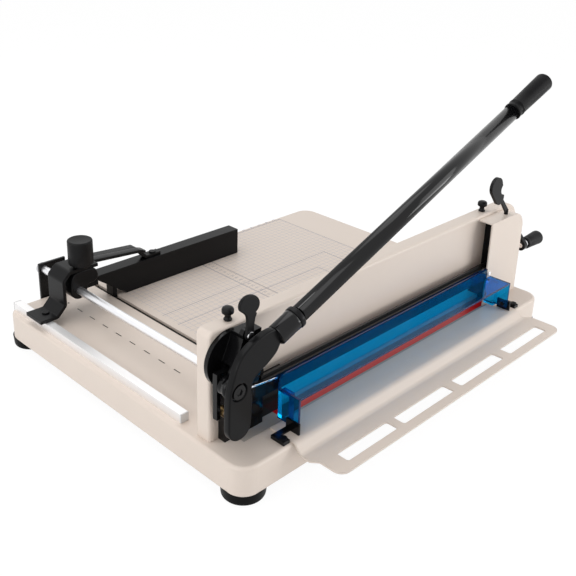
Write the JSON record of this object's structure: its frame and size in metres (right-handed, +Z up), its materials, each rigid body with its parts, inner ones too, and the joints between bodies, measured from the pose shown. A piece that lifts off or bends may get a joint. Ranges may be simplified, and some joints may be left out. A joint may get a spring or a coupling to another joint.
{
  "type": "stack paper cutter",
  "caption": "Bench lever guillotine for paper stacks, with crank clamp, sliding back gauge, hinged clear guard and offcut tray.",
  "frame": {"origin": "centre of the footprint, at the bottom of the feet", "axes": "+X along the blade to the operator's right, +Y away from the operator, +Z up"},
  "size_m": [0.7435, 0.614, 0.4264],
  "materials": {
    "cream_paint": "satin",
    "black_paint": "semi-gloss",
    "black_plastic": "matte",
    "black_rubber": "matte",
    "bright_chrome": "polished",
    "plain_steel": "ground",
    "bearing_bronze": "machined",
    "rail_aluminium": "satin",
    "red_plastic": "smooth",
    "blue_clear": "clear"
  },
  "bodies": {
    "frame": {"base_casting": "cream_paint", "bed_plate": "plain_steel", "cutting_stick": "red_plastic", "feet": "black_rubber", "foot_screws": "plain_steel", "gantry_cover": "cream_paint", "near_leg_block": "black_paint", "far_leg_block": "black_paint", "leg_bolts": "plain_steel", "near_guide": "black_paint", "far_guide": "black_paint", "side_housing": "black_paint", "pivot_bolt": "bright_chrome", "paddle_screw": "bright_chrome", "far_post_cover": "cream_paint", "post_screw": "plain_steel", "clamp_bushes": "bearing_bronze", "shaft_bearings": "bearing_bronze", "near_guard_bracket": "black_paint", "far_guard_bracket": "black_paint", "bracket_screws": "plain_steel", "offcut_tray": "cream_paint", "tray_screws": "plain_steel", "guide_rod": "bright_chrome", "rod_bracket": "black_paint", "rod_nut": "plain_steel", "rod_bracket_screws": "plain_steel", "side_rail": "rail_aluminium", "rail_plugs": "black_plastic"},
    "lever": {"lever_arm": "black_paint", "handle_tube": "black_paint", "handle_collar": "black_paint", "handle_grip": "black_rubber", "drive_pin": "plain_steel", "drive_roller": "bearing_bronze"},
    "blade_carriage": {"blade_carrier": "black_paint", "blade": "plain_steel", "blade_screws": "plain_steel"},
    "clamp": {"clamp_bar": "black_paint", "clamp_guide_pins": "plain_steel", "clamp_racks": "plain_steel"},
    "crank": {"clamp_shaft": "plain_steel", "crank_arm": "black_paint", "crank_spindle": "bright_chrome"},
    "grip": {"crank_grip": "black_plastic"},
    "guard": {"blade_guard": "blue_clear"},
    "gauge": {"gauge_strap": "black_paint", "gauge_screws": "plain_steel", "gauge_sleeve": "black_paint", "gauge_fence": "black_paint", "fence_key": "black_plastic"},
    "gauge_lock": {"gauge_knob": "black_plastic"},
    "near_lock": {"near_lock_paddle": "black_plastic"},
    "far_lock": {"far_lock_paddle": "black_plastic"},
    "near_thumb": {"near_thumbscrew": "black_plastic"},
    "far_thumb": {"far_thumbscrew": "black_plastic"}
  },
  "joints": [
    {"name": "lever_pull", "type": "hinge", "parent": "frame", "child": "lever", "pos_m": [-0.3545, -0.207, 0.145], "axis": [0, 1, 0], "range_deg": [0, 21.7]},
    {"name": "blade_slide", "type": "slide", "parent": "frame", "child": "blade_carriage", "axis": [-0.3126, 0, -0.9499], "range_m": [0, 0.04496]},
    {"name": "crank_turn", "type": "hinge", "parent": "frame", "child": "crank", "pos_m": [0.3115, -0.1525, 0.153], "axis": [1, 0, 0], "range_deg": [0, 381.96]},
    {"name": "clamp_slide", "type": "slide", "parent": "frame", "child": "clamp", "axis": [0, 0, -1], "range_m": [0, 0.04]},
    {"name": "grip_spin", "type": "hinge", "parent": "crank", "child": "grip", "pos_m": [0.3195, -0.1795, 0.124], "axis": [1, 0, 0], "continuous": true},
    {"name": "guard_flip", "type": "hinge", "parent": "frame", "child": "guard", "pos_m": [-0.2735, -0.2206, 0.069], "axis": [1, 0, 0], "range_deg": [0, 90]},
    {"name": "gauge_slide", "type": "slide", "parent": "frame", "child": "gauge", "axis": [0, 1, 0], "range_m": [-0.325, 0.035]},
    {"name": "gauge_lock_turn", "type": "hinge", "parent": "gauge", "child": "gauge_lock", "pos_m": [-0.2925, 0.205, 0.138], "axis": [0, 0, 1], "range_deg": [-90, 90]},
    {"name": "near_lock_swing", "type": "hinge", "parent": "frame", "child": "near_lock", "pos_m": [-0.327, -0.1986, 0.2018], "axis": [0, 1, 0], "range_deg": [-25, 15]},
    {"name": "far_lock_turn", "type": "hinge", "parent": "frame", "child": "far_lock", "pos_m": [0.2465, -0.181, 0.198], "axis": [0, 0, 1], "range_deg": [0, 90]},
    {"name": "near_thumb_turn", "type": "hinge", "parent": "frame", "child": "near_thumb", "pos_m": [-0.3225, -0.155, 0.203], "axis": [0, 0, 1], "continuous": true},
    {"name": "far_thumb_turn", "type": "hinge", "parent": "frame", "child": "far_thumb", "pos_m": [0.2155, -0.155, 0.203], "axis": [0, 0, 1], "continuous": true}
  ],
  "couplings": [
    {"joint": "blade_slide", "follows": "lever_pull", "m_per_rad": 0.11869},
    {"joint": "clamp_slide", "follows": "crank_turn", "m_per_rad": 0.006}
  ]
}
